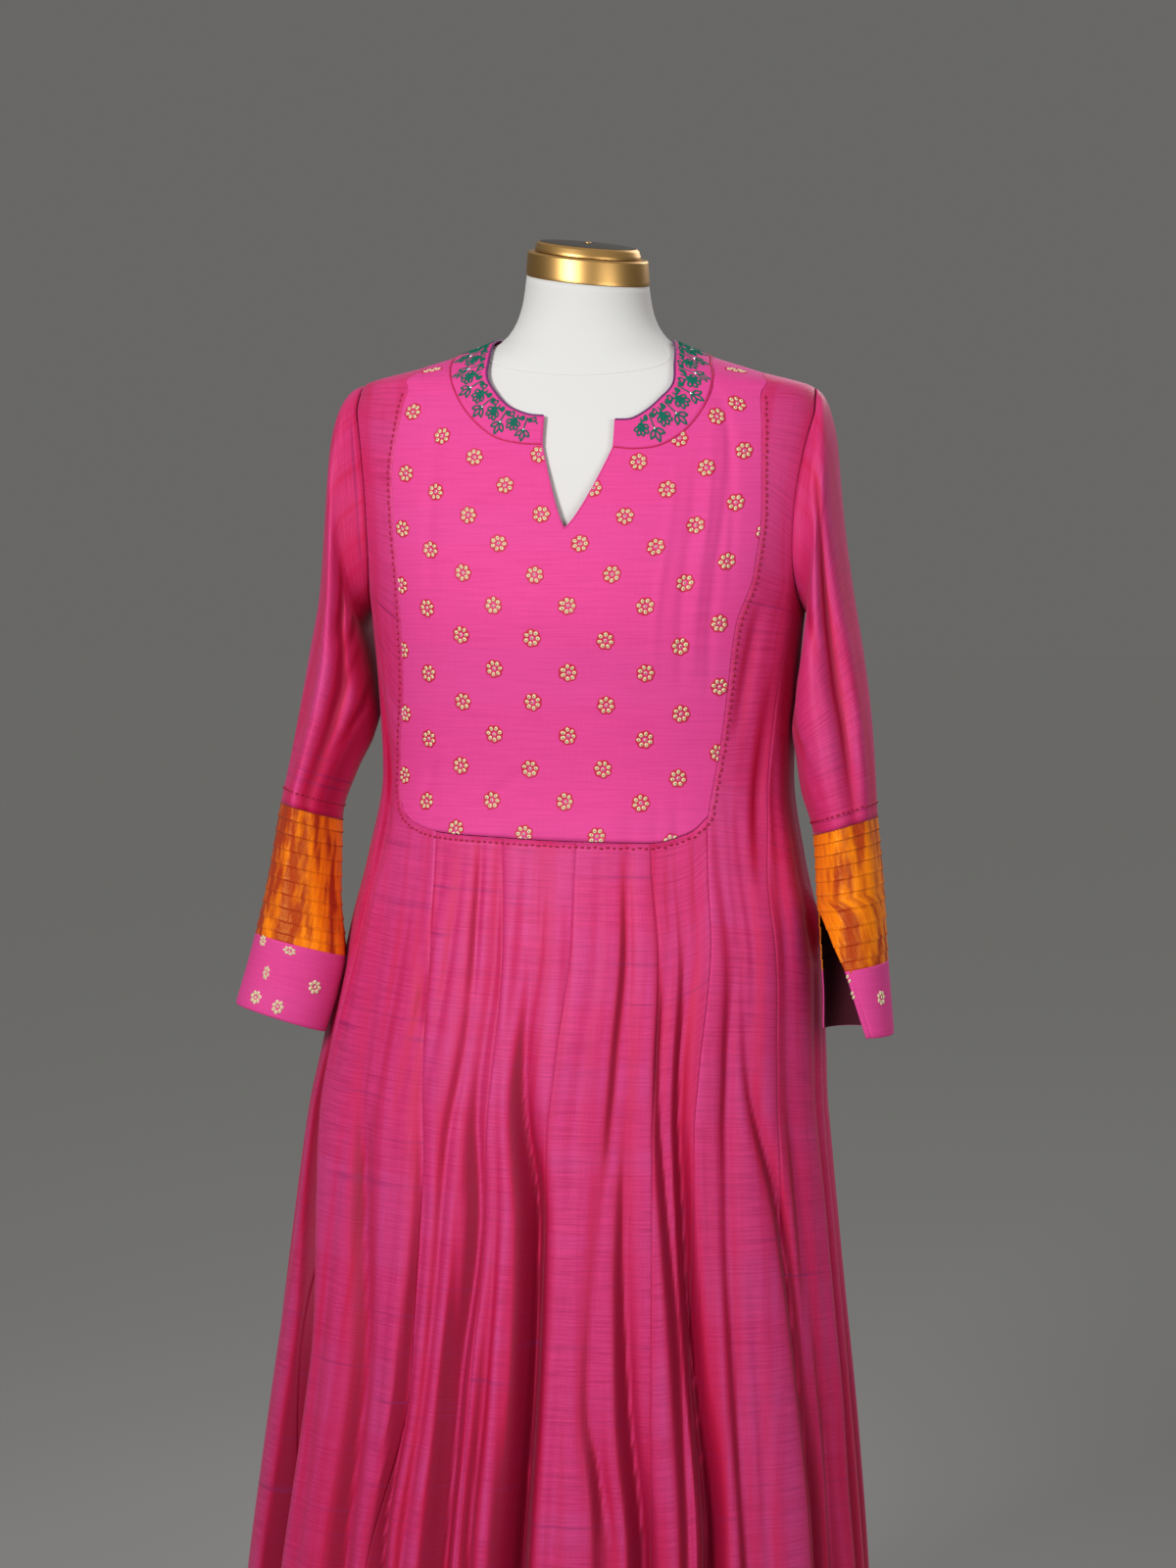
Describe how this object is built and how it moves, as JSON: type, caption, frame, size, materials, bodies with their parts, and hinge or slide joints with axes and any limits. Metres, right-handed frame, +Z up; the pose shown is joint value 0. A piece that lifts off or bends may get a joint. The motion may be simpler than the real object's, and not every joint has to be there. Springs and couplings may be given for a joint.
{
  "type": "long panelled kurti on a limbless dress form",
  "caption": "Long flared kurti with a front yoke, slit neck, embroidered neckband, panelled skirt and tucked sleeve bands, worn by a limbless dress form on a round stand.",
  "frame": {"origin": "centre of the underside of the stand's round plate, on the floor", "axes": "+Z up, the garment's front faces -Y, +X towards the wearer's left"},
  "size_m": [0.5945, 0.4956, 1.4901],
  "materials": {
    "pink_cloth": "plain woven, soft sheen",
    "shot_silk": "shot silk, slubbed, pink and crimson",
    "orange_satin": "satin, tucked",
    "form_cover": "smooth stretched jersey cover",
    "cap_metal": "brushed",
    "stand_metal": "satin black"
  },
  "bodies": {
    "root": {"yoke_front": "pink_cloth", "neckband": "pink_cloth", "kali_front_1": "shot_silk", "kali_front_2": "shot_silk", "kali_front_3": "shot_silk", "kali_front_4": "shot_silk", "side_front_right": "shot_silk", "side_front_left": "shot_silk", "kali_side_front_right": "shot_silk", "kali_side_front_left": "shot_silk", "kali_side_back_left": "shot_silk", "kali_side_back_right": "shot_silk", "back_side_left": "shot_silk", "back_side_right": "shot_silk", "back_centre_left": "shot_silk", "back_centre_right": "shot_silk", "sleeve_left": "shot_silk", "sleeve_band_left": "orange_satin", "cuff_left": "pink_cloth", "sleeve_right": "shot_silk", "sleeve_band_right": "orange_satin", "cuff_right": "pink_cloth", "form_torso": "form_cover", "cap_band": "cap_metal", "cap_disc": "cap_metal", "stand_plate": "stand_metal", "stand_socket": "stand_metal", "stand_tube": "stand_metal", "stand_flange": "stand_metal"}
  },
  "joints": []
}
